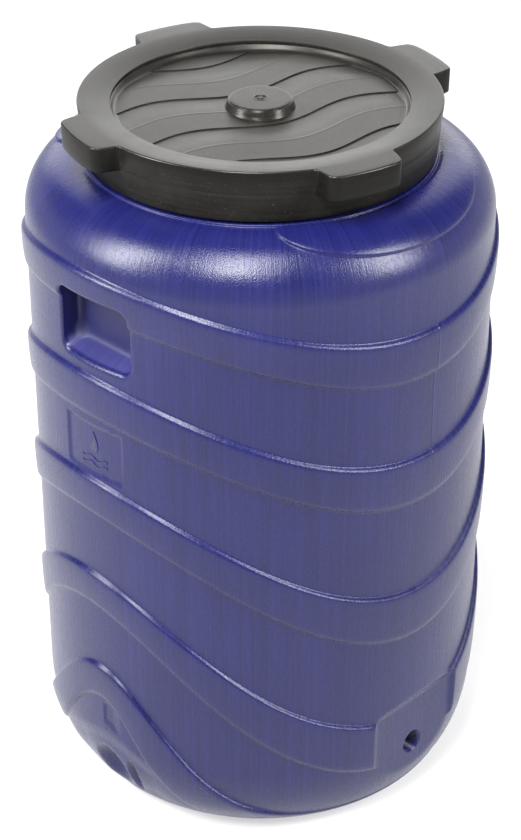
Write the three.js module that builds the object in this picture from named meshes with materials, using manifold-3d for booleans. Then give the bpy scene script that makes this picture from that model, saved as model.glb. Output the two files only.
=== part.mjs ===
// Rain barrel: a blow-moulded body with wavy ribs, two side grips, a tap pad, and a two-piece screw lid.
// Millimetres, +Z up. The origin is the centre of the base.
// The tap pad faces -Y and the grips face -X and +X.
import * as THREE from 'three';
import { mergeVertices } from 'three/addons/utils/BufferGeometryUtils.js';
import { ConvexGeometry } from 'three/addons/geometries/ConvexGeometry.js';
import Module from 'manifold-3d';

const wasm = await Module();
wasm.setup();

// ---------- driving dimensions ----------
const WALL_RADIUS = 242; // outside of the plain wall, between the ribs
const WALL = 3.6; // wall thickness of the body
const RIB_HEIGHT = 4.8; // how far a rib stands out
const RIB_TURN = -3; // degrees by which the rib crests miss the middle of the grips
const ARCH_TURN = -0.8; // the same for the lowest rib, which is a steep arch
const BODY_SEGMENTS = 60;

const BASE = { radius: 189, fillet: 53, filletHeight: 100, dome: 10, domeRadius: 150, foot: 173 };
const SHOULDER = { start: 664, radius: 57 };
const SHOULDER_TOP = SHOULDER.start + SHOULDER.radius;
const LEAF = { slope: 37, halfAngle: 41.5, height: 2.5, bluntness: 2.1 };

const NECK = { outer: 171.5, collar: 181, collarHeight: 2.5, top: 768 };
const THREAD = { pitch: 12, height: 4.5, steps: 32, start: 738, neckTurns: 1.6, ringTurns: 1.25 };
const NECK_THREAD = { root: 170.7, crest: 175.5 };
const RING_THREAD = { root: 179.8, crest: 173, start: 733 };

const PAD = { distance: 234, halfWidth: 61, top: 142, rise: 1.35 };
const TAP = { height: 80, bore: 12.1, boss: 24, depth: 18 };
const GRIP = { halfWidth: 48, middle: -6, low: 568, high: 642.5, back: 215, corner: 12, run: 26, rise: 10 };
const BADGE = { halfAngle: 9.5, low: 438, high: 496, depth: 2 };
const HEEL = { distance: 248, middle: -1, height: 31, depth: 42, halfWidth: 35, halfHeight: 43 };

const RING = { outer: 184.5, foot: 179.9, top: 780, low: 726, inner: 151, innerTop: 775.8 };
const RING_WALL = { plate: 3.5, skirt: 3.3 };
const LUG = { first: -106, span: 27, low: 754, wall: 3.2, root: 181.5, hollow: 187 };
const DISC = { panel: 765.5, panelRadius: 144.5, under: 762.5, flange: 175.5, flangeLow: 770.8 };
const KNOB = { base: 35.2, top: 31.1, height: 776, gate: 6.5 };
const GASKET = { inner: 166, outer: 174, low: 768.3, high: 770.5 };
const LEAVES = { spacing: 81, width: 40, offset: 48, swing: 12, period: 190, height: 1.5, turn: -17.5 };

// A lug in plan, as radius and degrees from its square end, and the hollow under it.
const LUG_PLAN = [
  [184.5, 0], [204.6, 2.7], [207.1, 3.5], [207.5, 4.6], [207.5, 10], [207.5, 16], [207.5, 21.4],
  [206.4, 23], [203.8, 24.3], [187.5, 26.1], [185.2, 26.6], [184.5, 27.5],
];
const LUG_HOLLOW = [[187.6, 1.5], [203.6, 3.9], [204.3, 12.5], [204.3, 21], [201.6, 22.9], [187.6, 24.8]];

const FULL = Math.PI * 2;
const rad = THREE.MathUtils.degToRad;

// ---------- turning meshes into solids and back ----------
function toSolid(geometry) {
  const clean = geometry.clone();
  clean.deleteAttribute('normal');
  clean.deleteAttribute('uv');
  const merged = mergeVertices(clean, 1e-4);
  const triangles = [];
  const index = merged.index.array;
  for (let i = 0; i < index.length; i += 3) {
    const [a, b, c] = [index[i], index[i + 1], index[i + 2]];
    if (a !== b && b !== c && c !== a) triangles.push(a, b, c);
  }
  const mesh = new wasm.Mesh({
    numProp: 3,
    vertProperties: new Float32Array(merged.attributes.position.array),
    triVerts: new Uint32Array(triangles),
  });
  return new wasm.Manifold(mesh);
}

function toGeometry(solid) {
  const mesh = solid.getMesh();
  const geometry = new THREE.BufferGeometry();
  geometry.setAttribute('position', new THREE.BufferAttribute(new Float32Array(mesh.vertProperties), 3));
  geometry.setIndex(Array.from(mesh.triVerts));
  geometry.computeVertexNormals();
  return geometry;
}

// A closed shape of revolution about Z whose rows may change round the axis.
// rowsAt(angle) lists them as [radius, height].
function revolve(rowsAt, segments) {
  const count = rowsAt(0).length;
  const blank = Array.from({ length: count }, (_, j) => new THREE.Vector2(1, j));
  const geometry = new THREE.LatheGeometry(blank, segments);
  const position = geometry.attributes.position;
  for (let i = 0; i <= segments; i++) {
    const angle = ((i % segments) / segments) * FULL;
    rowsAt(angle).forEach(([radius, height], j) => {
      position.setXYZ(i * count + j, radius * Math.cos(angle), radius * Math.sin(angle), height);
    });
  }
  return toSolid(geometry);
}

// A closed section turned once round the axis, such as a ring.
function ringSolid(section, segments) {
  return revolve(() => [...section, section[0]], segments);
}

// A flat outline in the XY plane raised from low to high.
function prism(shape, low, high) {
  const options = { depth: high - low, bevelEnabled: false, curveSegments: 5 };
  const geometry = new THREE.ExtrudeGeometry(shape, options);
  geometry.translate(0, 0, low);
  return toSolid(geometry);
}

// ---------- the outline of the body ----------
// Degrees round from the nearest grip, from -90 to 90.
function fromCrest(angle) {
  const degrees = THREE.MathUtils.radToDeg(angle);
  return ((degrees + 270) % 180) - 90;
}

const wave = (middle, swing, cusp) => (angle) => {
  const turned = angle - rad(RIB_TURN);
  return middle + swing * Math.cos(2 * turned) + cusp * Math.cos(4 * turned);
};

// A bell over each grip, with one width before its middle and another after it.
const bell = (top, foot, before, after) => (angle) => {
  const away = fromCrest(angle - rad(ARCH_TURN));
  return foot + (top - foot) * Math.exp(-0.5 * (away / (away < 0 ? before : after)) ** 2);
};

// Each rib is a band between a lower and an upper edge. They crest over the grips and dip over the tap pad.
// The lowest one is a steep arch that runs out into the base.
const RIBS = [
  { low: bell(149, 8, 15.5, 13.6), high: bell(192, 20, 21.5, 21.5) },
  { low: wave(161.6, 99.7, 10.6), high: wave(217.2, 89.4, 6.4) },
  { low: wave(318.6, 73.8, -2.1), high: wave(369.3, 65.6, -2) },
  { low: wave(463.2, 48.2, -2.6), high: wave(511, 44.6, -0.7) },
  { low: wave(596, 34.8, -2.9), high: wave(640.3, 30.6, -0.7) },
];

// Radius of the plain body at a height: base fillet, straight wall, shoulder fillet.
function plainRadius(height) {
  if (height < BASE.filletHeight) {
    const t = 1 - height / BASE.filletHeight;
    return BASE.radius + BASE.fillet * Math.sqrt(1 - t * t);
  }
  if (height > SHOULDER.start) {
    const t = Math.min(1, (height - SHOULDER.start) / SHOULDER.radius);
    return WALL_RADIUS - SHOULDER.radius * (1 - Math.sqrt(1 - t * t));
  }
  return WALL_RADIUS;
}

// A rib fades away towards the base, where the barrel stands.
const ribFade = (height) => THREE.MathUtils.smoothstep(height, 0, 45);

const between = (low, high, share) => low + (high - low) * share;

// A step is a share of the way up the rib, an offset in millimetres, and a share of the rib's full height.
const OUTER_STEPS = [
  [0, -1, 0],
  [0, 1, 0.72],
  [1, -3.5, 0.93],
  [1, 2, 0],
];
const ARCH_STEPS = [...OUTER_STEPS.slice(0, 2), [0.3, 0, 0.78], [0.65, 0, 0.86], ...OUTER_STEPS.slice(2)];
const INNER_STEPS = [
  [0, 0, 0],
  [0.5, 0, 0.95],
  [1, 0, 0],
];

function ribRows(rib, angle, steps) {
  return steps.map(([share, offset, raise]) => {
    const height = between(rib.low(angle), rib.high(angle), share) + offset;
    return [plainRadius(height) + RIB_HEIGHT * raise * ribFade(height), height];
  });
}

// Heights that share out the plain wall between the lowest rib and the next one.
function gapRows(angle) {
  const low = RIBS[0].high(angle) + 2;
  const high = RIBS[1].low(angle) - 1;
  return [0.15, 0.4, 0.7].map((share) => {
    const height = between(low, high, share);
    return [plainRadius(height), height];
  });
}

// Radius and height on the shoulder fillet at a slope in degrees: 0 is the upright wall, 90 the flat top.
function shoulderPoint(slope, raise = 0) {
  const reach = SHOULDER.radius + raise;
  const centre = WALL_RADIUS - SHOULDER.radius;
  return [centre + reach * Math.cos(rad(slope)), SHOULDER.start + reach * Math.sin(rad(slope))];
}

// A low raised leaf lies on the shoulder over each rib trough.
// Its lower edge is given as a slope on the fillet.
function leafEdge(angle) {
  const away = Math.min(1, (90 - Math.abs(fromCrest(angle))) / LEAF.halfAngle);
  return 90 - (90 - LEAF.slope) * (1 - away ** LEAF.bluntness) ** (1 / LEAF.bluntness);
}

function shoulderRows(angle) {
  const edge = Math.min(leafEdge(angle), 76);
  const raise = LEAF.height * (1 - THREE.MathUtils.smoothstep(leafEdge(angle), 80, 90));
  const climb = THREE.MathUtils.clamp((RIBS[4].high(angle) + 4 - SHOULDER.start) / SHOULDER.radius, 0, 1);
  const start = THREE.MathUtils.radToDeg(Math.asin(climb));
  const below = [0, 0.35, 0.7].map((share) => shoulderPoint(between(start, edge, share)));
  const above = shoulderPoint(between(edge, 90, 0.5), raise);
  return [...below, shoulderPoint(edge - 1), shoulderPoint(edge + 1, raise), above];
}

function neckRows() {
  const { outer, collar, collarHeight, top } = NECK;
  return [
    [WALL_RADIUS - SHOULDER.radius, SHOULDER_TOP],
    [collar, SHOULDER_TOP + collarHeight],
    [outer, SHOULDER_TOP + collarHeight],
    [outer, top],
    [0, top],
  ];
}

function outerRows(angle) {
  const base = [
    [0, BASE.dome],
    [BASE.domeRadius, BASE.dome],
    [BASE.foot, 1],
    [BASE.radius - 6, 0],
    [BASE.radius, 0],
  ];
  const foot = [0.25, 0.5, 0.75].map((share) => {
    const height = RIBS[0].low(angle) * share * share;
    return [plainRadius(height), height];
  });
  const arch = ribRows(RIBS[0], angle, ARCH_STEPS);
  const ribs = RIBS.slice(1).flatMap((rib) => ribRows(rib, angle, OUTER_STEPS));
  return [...base, ...foot, ...arch, ...gapRows(angle), ...ribs, ...shoulderRows(angle), ...neckRows()];
}

// The water space: the same body set in by one wall, running up through the neck and out of the top.
function innerRows(angle) {
  const low = RIBS[1].low(angle);
  const lift = (height) => height + WALL * Math.max(0, 1 - height / BASE.filletHeight);
  const heights = [12, 32, between(32, low, 0.15), between(32, low, 0.45)];
  const foot = heights.map((height) => [plainRadius(height) - WALL, lift(height)]);
  const ribs = RIBS.slice(1).flatMap((rib) => ribRows(rib, angle, INNER_STEPS));
  const shoulder = [0, 25, 50, 70, 88].map((slope) => shoulderPoint(slope, -WALL));
  const inner = NECK.outer - WALL;
  return [
    [0, BASE.dome + WALL],
    [BASE.domeRadius, BASE.dome + WALL],
    [BASE.foot + 2, WALL + 1],
    [BASE.radius, WALL + 0.5],
    ...foot,
    ...ribs.map(([radius, height]) => [radius - WALL, height]),
    ...shoulder,
    [inner, SHOULDER_TOP - WALL],
    [inner, NECK.top + 20],
    [0, NECK.top + 20],
  ];
}

// ---------- cuts in the body ----------
// The tap pad is a flat chord across the wall.
// Its sides slope out at 45 degrees and its ceiling a little steeper.
function padCut(setIn) {
  const points = [];
  const near = -PAD.distance + setIn;
  const reach = 40;
  for (const side of [-1, 1]) {
    for (const [y, out] of [[near, 0], [near - reach, reach]]) {
      const x = side * (PAD.halfWidth + out);
      points.push(new THREE.Vector3(x, y, -20), new THREE.Vector3(x, y, PAD.top + out * PAD.rise));
    }
  }
  return toSolid(new ConvexGeometry(points));
}

function tapCylinder(radius, front, depth) {
  const geometry = new THREE.CylinderGeometry(radius, radius, depth, 24);
  geometry.translate(0, -front + depth / 2, TAP.height);
  return toSolid(geometry);
}

function roundedRectangle(halfWidth, low, high, corner) {
  const shape = new THREE.Shape();
  shape.moveTo(halfWidth, low + corner);
  shape.absarc(halfWidth - corner, high - corner, corner, 0, Math.PI / 2);
  shape.absarc(corner - halfWidth, high - corner, corner, Math.PI / 2, Math.PI);
  shape.absarc(corner - halfWidth, low + corner, corner, Math.PI, Math.PI * 1.5);
  shape.absarc(halfWidth - corner, low + corner, corner, Math.PI * 1.5, FULL);
  return shape;
}

// A grip is a deep pocket cut along X into the wall on one side.
// Its back is flat and its floor climbs inwards.
function gripCut(side, grow) {
  const shape = roundedRectangle(GRIP.halfWidth + grow, GRIP.low - grow, GRIP.high + grow, GRIP.corner);
  const depth = 60;
  const geometry = new THREE.ExtrudeGeometry(shape, { depth, bevelEnabled: false, curveSegments: 4 });
  const position = geometry.attributes.position;
  for (let i = 0; i < position.count; i++) {
    const nearFloor = position.getY(i) < (GRIP.low + GRIP.high) / 2;
    const climb = GRIP.rise * (1 - position.getZ(i) / GRIP.run);
    if (nearFloor) position.setY(i, position.getY(i) + climb);
  }
  geometry.rotateX(Math.PI / 2);
  geometry.rotateZ(side * (Math.PI / 2));
  geometry.translate(side * (GRIP.back - grow), GRIP.middle, 0);
  return toSolid(geometry);
}

// A finger hollow at the foot, under each grip.
function heelCut(side, grow) {
  const geometry = new THREE.SphereGeometry(1, 28, 16);
  geometry.rotateX(Math.PI / 2);
  geometry.scale(HEEL.depth + grow, HEEL.halfWidth + grow, HEEL.halfHeight + grow);
  geometry.translate(side * HEEL.distance, HEEL.middle, HEEL.height);
  return toSolid(geometry);
}

// A shallow plate recess on the -X side, concentric with the wall.
function badgeCut() {
  const shape = new THREE.Shape();
  const half = rad(BADGE.halfAngle);
  shape.absarc(0, 0, WALL_RADIUS - BADGE.depth, Math.PI - half, Math.PI + half);
  shape.absarc(0, 0, WALL_RADIUS + 20, Math.PI + half, Math.PI - half, true);
  return prism(shape, BADGE.low, BADGE.high);
}

// ---------- threads ----------
// A straight bar of trapezoid section is bent into a helix: its length becomes the angle round the axis.
function threadBead({ root, crest }, start, turns) {
  const half = THREAD.height / 2;
  const section = new THREE.Shape([
    new THREE.Vector2(0, -half),
    new THREE.Vector2(1, -half * 0.45),
    new THREE.Vector2(1, half * 0.45),
    new THREE.Vector2(0, half),
  ]);
  const steps = Math.round(THREAD.steps * turns);
  const bar = new THREE.ExtrudeGeometry(section, { depth: 1, steps, bevelEnabled: false });
  const position = bar.attributes.position;
  for (let i = 0; i < position.count; i++) {
    const along = position.getZ(i);
    const angle = along * turns * FULL;
    const runOut = THREE.MathUtils.smoothstep(Math.min(along, 1 - along) * turns, 0, 0.06);
    const radius = between(root, crest, position.getX(i) * between(0.1, 1, runOut));
    const height = start + position.getY(i) + (THREAD.pitch * angle) / FULL;
    position.setXYZ(i, radius * Math.cos(angle), radius * Math.sin(angle), height);
  }
  return outward(bar);
}

// A mesh bent inside out is turned the right way round.
function outward(geometry) {
  const position = geometry.attributes.position;
  const [a, b, c] = [new THREE.Vector3(), new THREE.Vector3(), new THREE.Vector3()];
  let volume = 0;
  for (let i = 0; i < position.count; i += 3) {
    a.fromBufferAttribute(position, i);
    b.fromBufferAttribute(position, i + 1);
    c.fromBufferAttribute(position, i + 2);
    volume += a.dot(b.cross(c));
  }
  if (volume < 0) {
    for (let i = 0; i < position.count; i += 3) {
      b.fromBufferAttribute(position, i + 1);
      c.fromBufferAttribute(position, i + 2);
      position.setXYZ(i + 1, c.x, c.y, c.z);
      position.setXYZ(i + 2, b.x, b.y, b.z);
    }
  }
  return toSolid(geometry);
}

// ---------- the four pieces ----------
function makeBarrel() {
  const innerFace = PAD.distance - WALL;
  let outer = revolve(outerRows, BODY_SEGMENTS).subtract(padCut(0)).subtract(badgeCut());
  let space = revolve(innerRows, BODY_SEGMENTS).subtract(padCut(WALL));
  space = space.subtract(tapCylinder(TAP.boss, innerFace + 20, TAP.depth - WALL + 20));
  for (const side of [-1, 1]) {
    outer = outer.subtract(gripCut(side, 0)).subtract(heelCut(side, 0));
    space = space.subtract(gripCut(side, WALL)).subtract(heelCut(side, WALL));
  }
  const shell = outer.subtract(space).add(threadBead(NECK_THREAD, THREAD.start, THREAD.neckTurns));
  return shell.subtract(tapCylinder(TAP.bore, PAD.distance + 20, TAP.depth + 40));
}

// A prism over a plan of [radius, degrees] points, closed by an arc along an inner radius.
function polarPrism(plan, inner, low, high) {
  const polar = ([radius, degrees]) =>
    new THREE.Vector2(radius * Math.cos(rad(degrees)), radius * Math.sin(rad(degrees)));
  const [start, end] = [plan[0][1], plan[plan.length - 1][1]];
  const back = [1, 0.75, 0.5, 0.25, 0].map((share) => polar([inner, between(start, end, share)]));
  return prism(new THREE.Shape([...plan.map(polar), ...back]), low, high);
}

// The lugs are handed in pairs whose square ends face each other.
function makeLug(index) {
  const shell = polarPrism(LUG_PLAN, LUG.root, LUG.low, RING.top);
  const hollow = polarPrism(LUG_HOLLOW, LUG.hollow, LUG.low - 5, RING.top - LUG.wall);
  const lug = shell.subtract(hollow);
  const handed = index % 2 === 0 ? lug.mirror([0, 1, 0]) : lug;
  const swing = index % 2 === 0 ? LUG.span / 2 : -LUG.span / 2;
  return handed.rotate([0, 0, LUG.first + index * 90 + swing]);
}

function makeScrewRing() {
  const { outer, foot, top, low, inner, innerTop } = RING;
  const { plate, skirt } = RING_WALL;
  const section = [
    [foot, low],
    [outer, top - 1.2],
    [outer - 1, top],
    [inner, innerTop],
    [inner, innerTop - plate],
    [outer - skirt, top - plate - 0.3],
    [foot - skirt, low],
  ];
  let ring = ringSolid(section, BODY_SEGMENTS);
  for (let i = 0; i < 4; i++) ring = ring.add(makeLug(i));
  return ring.add(threadBead(RING_THREAD, RING_THREAD.start, THREAD.ringTurns));
}

// A wavy raised band on the lid panel. The first edge is the sharp step, which faces the tap pad.
function leafBand(index) {
  const edge = (u, shift) => {
    const v = LEAVES.offset - LEAVES.spacing * index - LEAVES.swing * Math.cos((FULL * u) / LEAVES.period);
    return new THREE.Vector2(u, v + shift);
  };
  const stations = Array.from({ length: 19 }, (_, i) => -153 + i * 17);
  const points = stations.map((u) => edge(u, 0));
  points.push(...stations.reverse().map((u) => edge(u, LEAVES.width)));
  return prism(new THREE.Shape(points), DISC.panel - 1, DISC.panel + LEAVES.height);
}

function makeInnerLid() {
  const { panel, panelRadius, under, flange, flangeLow } = DISC;
  const rib = { inner: 162.6, outer: 165.5, low: 758 };
  const section = [
    [0, KNOB.height - 3.4],
    [27, KNOB.height - 3.4],
    [31, under],
    [panelRadius + 2.5, under],
    [panelRadius + 7.5, under + 6],
    [rib.inner, under + 6],
    [rib.inner, rib.low],
    [rib.outer, rib.low],
    [rib.outer, flangeLow],
    [flange, flangeLow],
    [flange, 774.6],
    [150.5, 771.9],
    [panelRadius, panel],
    [KNOB.base, panel],
    [KNOB.top + 0.8, KNOB.height - 1],
    [KNOB.top - 0.6, KNOB.height],
    [KNOB.gate, KNOB.height],
    [KNOB.gate - 1.5, KNOB.height - 0.8],
    [0, KNOB.height - 0.8],
  ];
  let lid = revolve(() => section, 60);
  const dish = ringSolid([[KNOB.base - 1, panel - 2], [panelRadius, panel - 2], [panelRadius + 1, panel + 3],
    [KNOB.base - 1, panel + 3]], 60);
  for (const index of [-1, 0, 1, 2]) {
    lid = lid.add(leafBand(index).rotate([0, 0, LEAVES.turn]).intersect(dish));
  }
  return lid;
}

function makeGasket() {
  const { inner, outer, low, high } = GASKET;
  return ringSolid([[inner, low], [outer, low], [outer, high], [inner, high]], BODY_SEGMENTS);
}

// ---------- the assembly ----------
const PLASTIC_BLUE = { color: 0x35328a, roughness: 0.42, metalness: 0 };
const PLASTIC_BLACK = { color: 0x2b2b2a, roughness: 0.45, metalness: 0 };
const RUBBER = { color: 0x1c1c1c, roughness: 0.85, metalness: 0 };

const part = new THREE.Group();
for (const [name, solid, finish] of [
  ['barrel', makeBarrel(), PLASTIC_BLUE],
  ['screw_ring', makeScrewRing(), PLASTIC_BLACK],
  ['inner_lid', makeInnerLid(), PLASTIC_BLACK],
  ['gasket', makeGasket(), RUBBER],
]) {
  const mesh = new THREE.Mesh(toGeometry(solid), new THREE.MeshStandardMaterial(finish));
  mesh.name = name;
  part.add(mesh);
}

export default part;
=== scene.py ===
"""Rain barrel: fine meshes and moulded-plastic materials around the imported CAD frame. Metres, +Z up.

The tap pad faces -Y and the grips face -X and +X. Shape functions work in millimetres and are scaled at the end.
"""

import math

import bmesh
import bpy
import numpy as np
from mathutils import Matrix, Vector


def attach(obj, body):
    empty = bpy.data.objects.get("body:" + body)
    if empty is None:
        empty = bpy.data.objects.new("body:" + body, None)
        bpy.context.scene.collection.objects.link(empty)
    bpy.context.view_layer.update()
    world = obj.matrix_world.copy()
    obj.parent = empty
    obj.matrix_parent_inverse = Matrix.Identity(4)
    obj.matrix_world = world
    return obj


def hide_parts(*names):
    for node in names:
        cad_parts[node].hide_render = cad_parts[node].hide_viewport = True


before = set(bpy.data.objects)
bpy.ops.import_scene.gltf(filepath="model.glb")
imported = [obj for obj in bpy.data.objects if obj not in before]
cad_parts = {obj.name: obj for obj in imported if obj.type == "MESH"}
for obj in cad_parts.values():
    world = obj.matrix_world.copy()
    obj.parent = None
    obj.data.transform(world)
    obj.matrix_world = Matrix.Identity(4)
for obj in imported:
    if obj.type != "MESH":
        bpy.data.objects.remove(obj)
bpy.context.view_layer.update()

MM = 0.001
TAU = 2 * math.pi

# ---------- dimensions, as in the CAD ----------
WALL_R, WALL, RIB_TURN, ARCH_TURN = 242.0, 3.6, -3.0, -0.8
BASE_R, FILLET, FILLET_H, DOME = 189.0, 53.0, 100.0, 10.0
SHOULDER_Z, SHOULDER_R = 664.0, 57.0
SHOULDER_TOP = SHOULDER_Z + SHOULDER_R
LEAF_SLOPE, LEAF_HALF, LEAF_RAISE, LEAF_BLUNT = 37.0, 41.5, 2.5, 2.1
NECK_R, NECK_TOP = 171.5, 768.0
THREAD_PITCH, THREAD_START, THREAD_TURNS, THREAD_CREST = 12.0, 738.0, 1.6, 175.5
PAD_Y, PAD_HALF, PAD_TOP, PAD_RISE = 234.0, 61.0, 142.0, 1.35
TAP_Z, TAP_BORE, TAP_ROOT, TAP_PITCH, TAP_DEPTH = 80.0, 12.1, 13.25, 1.814, 18.0
GRIP_HALF, GRIP_Y, GRIP_LOW, GRIP_HIGH = 48.0, -6.0, 568.0, 642.5
GRIP_BACK, GRIP_CORNER, GRIP_RISE = 215.0, 12.0, 10.0
BADGE_HALF, BADGE_LOW, BADGE_HIGH, BADGE_DEPTH = 9.5, 438.0, 496.0, 2.0
HEEL_X = 248.0
# Each scoop: middle, half width, height, half height, depth.
HEEL_SCOOPS = ((5.0, 30.0, 30.0, 44.0, 37.0), (-30.0, 8.5, 36.0, 38.0, 29.0))
SLANT_ANGLE, SLANT_Z, SLANT_HALF, SLANT_SLOPE, SLANT_DEPTH = 2.6, 123, 12, 0.45, 1.8
RING_R, RING_FOOT, RING_TOP, RING_LOW, RING_IN, RING_IN_TOP = 184.5, 179.9, 780.0, 726.0, 151.0, 775.8
RING_PLATE, RING_SKIRT = 3.5, 3.3
RING_THREAD_START, RING_THREAD_TURNS, RING_THREAD_CREST = 733.0, 1.25, 173.0
BEAD_FLAT, BEAD_FOOT, BEAD_FADE = 1.0, 2.25, 0.08
LUG_R, LUG_LOW, LUG_SPAN, LUG_FIRST, LUG_WALL = 207.5, 754.0, 27.0, -106.0, 3.2
PANEL_Z, PANEL_R, UNDER_Z, FLANGE_R = 765.5, 144.5, 762.5, 175.5
KNOB_BASE, KNOB_TOP, KNOB_Z, GATE_R = 35.2, 31.1, 776.0, 6.5
WAVE_STEP, WAVE_WIDTH, WAVE_FIRST, WAVE_SWING, WAVE_PERIOD, WAVE_TURN = 81.0, 40.0, 48.0, 12.0, 190.0, -17.5
CAMERA_FOCAL, CAMERA_HEADING, CAMERA_DOWN = 2221.9 / 521, 44.5, 0.5524  # widths of the image, degrees, radians
CAMERA_AWAY, CAMERA_Z = 2.0688, 1.6708  # metres
FLOOR_HALF = 30.0  # metres


# ---------- mesh helpers ----------
def smooth(x, low, high):
    t = np.clip((x - low) / (high - low), 0, 1)
    return t * t * (3 - 2 * t)


def soft_min(a, b, k):
    """The smaller of two heights, with the corner between them rounded over about k."""
    h = np.clip(0.5 + 0.5 * (b - a) / k, 0, 1)
    return b + (a - b) * h - k * h * (1 - h)


def soft_max(a, b, k):
    return -soft_min(-a, -b, k)


def make_object(name, points, faces, sharp=None):
    """A mesh object from points in millimetres. Points that coincide are merged, so rows may collapse to a pole."""
    mesh = bpy.data.meshes.new(name)
    mesh.from_pydata((np.asarray(points, dtype=float) * MM).tolist(), [], faces)
    work = bmesh.new()
    work.from_mesh(mesh)
    bmesh.ops.remove_doubles(work, verts=work.verts, dist=2e-6)
    bmesh.ops.dissolve_degenerate(work, edges=work.edges, dist=1e-6)
    bmesh.ops.recalc_face_normals(work, faces=work.faces)
    work.to_mesh(mesh)
    work.free()
    mesh.shade_smooth()
    if sharp:
        mesh.set_sharp_from_angle(angle=math.radians(sharp))
    piece = bpy.data.objects.new(name, mesh)
    bpy.context.scene.collection.objects.link(piece)
    return piece


def grid_faces(rows, columns, close_rows=False):
    """Quads of a grid that closes on itself round the axis, and, if asked, from its last row back to its first."""
    i, j = np.meshgrid(np.arange(rows if close_rows else rows - 1), np.arange(columns), indexing="ij")
    up, across = (i + 1) % rows, (j + 1) % columns
    quads = np.stack([i * columns + j, i * columns + across, up * columns + across, up * columns + j], axis=-1)
    return quads.reshape(-1, 4).tolist()


def grid_object(name, points, close_rows=False, sharp=None):
    rows, columns = points.shape[:2]
    return make_object(name, points.reshape(-1, 3), grid_faces(rows, columns, close_rows), sharp)


def turned(section, columns=240):
    """Points of a section of [radius, height] turned round the axis."""
    angle = np.linspace(0, TAU, columns, endpoint=False)
    section = np.asarray(section, dtype=float)
    r, z = section[:, :1], section[:, 1:]
    return np.stack([r * np.cos(angle), r * np.sin(angle), z + 0 * angle], axis=-1)


def rounded(section, radius, steps=4, closed=True):
    """A section with each corner replaced by a small arc. A corner given as (r, z, own) takes its own radius."""
    points = [np.array(p[:2], dtype=float) for p in section]
    radii = [p[2] if len(p) > 2 else radius for p in section]
    out = []
    for i, (point, size) in enumerate(zip(points, radii)):
        if not closed and i in (0, len(points) - 1):
            out.append(point)
            continue
        before, after = points[i - 1] - point, points[(i + 1) % len(points)] - point
        reach = min(size, 0.45 * np.linalg.norm(before), 0.45 * np.linalg.norm(after))
        a = point + before / np.linalg.norm(before) * reach
        b = point + after / np.linalg.norm(after) * reach
        for t in np.linspace(0, 1, steps + 1):
            out.append((1 - t) ** 2 * a + 2 * t * (1 - t) * point + t * t * b)
    return out


# ---------- the body ----------
def columns_of_body():
    """Column angles in degrees: close together over the grips and the pad, and wider apart elsewhere."""
    spans = []
    for centre, half, step in ((-2, 15, 0.35), (90, 8, 0.8), (182, 15, 0.35), (270, 19, 0.5)):
        spans.append((centre - half, centre + half, step))
    angles = []
    for low, high, step in spans:
        angles.extend(np.arange(low, high, step))
    for (_, end, _), (start, _, _) in zip(spans, spans[1:] + [(spans[0][0] + 360, 0, 0)]):
        gap = start - end
        angles.extend(end + gap * np.arange(round(gap / 1.5)) / round(gap / 1.5))
    for centre in (90, 270):
        angles.extend(centre + np.array([-0.22, -0.1, 0.1, 0.22]))
        for side in (-1, 1):
            angles.extend(centre + side * np.arange(LEAF_HALF - 4.5, LEAF_HALF + 0.5, 0.3))
    return np.unique(np.round(np.mod(angles, 360), 3))


def from_crest(turn):
    """Degrees from the nearest grip, or from a point a little way round from it."""
    return (np.degrees(PHI) - turn + 270) % 180 - 90


PHI = np.radians(columns_of_body())
DELTA = np.abs(from_crest(0))
FLAT = 0 * PHI


def wave(middle, swing, cusp):
    """Height of a rib's edge: two swells a turn, sharpened or flattened by cusp."""
    along = PHI - math.radians(RIB_TURN)
    return middle + swing * np.cos(2 * along) + cusp * np.cos(4 * along)


def bell(top, foot, before, after):
    """A bell over each grip, with one width before its middle and another after it."""
    away = from_crest(ARCH_TURN)
    return foot + (top - foot) * np.exp(-0.5 * (away / np.where(away < 0, before, after)) ** 2)


RIBS = [
    (bell(149, 8, 15.5, 13.6), bell(192, 20, 21.5, 21.5)),
    (wave(161.6, 99.7, 10.6), wave(217.2, 89.4, 6.4)),
    (wave(318.6, 73.8, -2.1), wave(369.3, 65.6, -2)),
    (wave(463.2, 48.2, -2.6), wave(511, 44.6, -0.7)),
    (wave(596, 34.8, -2.9), wave(640.3, 30.6, -0.7)),
]
LOW_EDGE = ((-1.2, 0), (-0.8, 0.3), (-0.3, 1.2), (0.4, 1.9), (1.7, 2.6), (3.5, 3.2), (5.7, 3.6), (8.5, 3.8))
HIGH_EDGE = ((-9, 4.9), (-6.5, 4.8), (-4, 4.6), (-2.4, 4.2), (-1.4, 3.6), (-0.6, 2.8), (0.1, 1.9), (0.7, 1.1),
             (1.2, 0.5), (1.8, 0.15), (2.8, 0))


def plain_radius(z):
    low = BASE_R + FILLET * np.sqrt(np.clip(1 - np.clip(1 - z / FILLET_H, 0, 1) ** 2, 0, 1))
    t = np.clip((z - SHOULDER_Z) / SHOULDER_R, 0, 1)
    return np.where(z < SHOULDER_Z, low, WALL_R - SHOULDER_R * (1 - np.sqrt(1 - t * t)))


def rib_fade(z):
    return smooth(z, 0, 45)


def band_rows(rib, count):
    """Rows across one rib, from below its lower edge to above its upper edge."""
    low, high = rib
    rows = [(low + offset, raised + FLAT) for offset, raised in LOW_EDGE]
    start, end = low + LOW_EDGE[-1][0], high + HIGH_EDGE[0][0]
    for t in np.linspace(0, 1, count + 2)[1:-1]:
        swell = 3.8 + 1.1 * t + 0.25 * math.sin(math.pi * t)
        rows.append((start + (end - start) * t, swell + FLAT))
    rows += [(high + offset, raised + FLAT) for offset, raised in HIGH_EDGE]
    return rows


def gap_rows(start, end, count):
    return [(start + (end - start) * t, FLAT) for t in np.linspace(0, 1, count + 2)[1:-1]]


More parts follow.
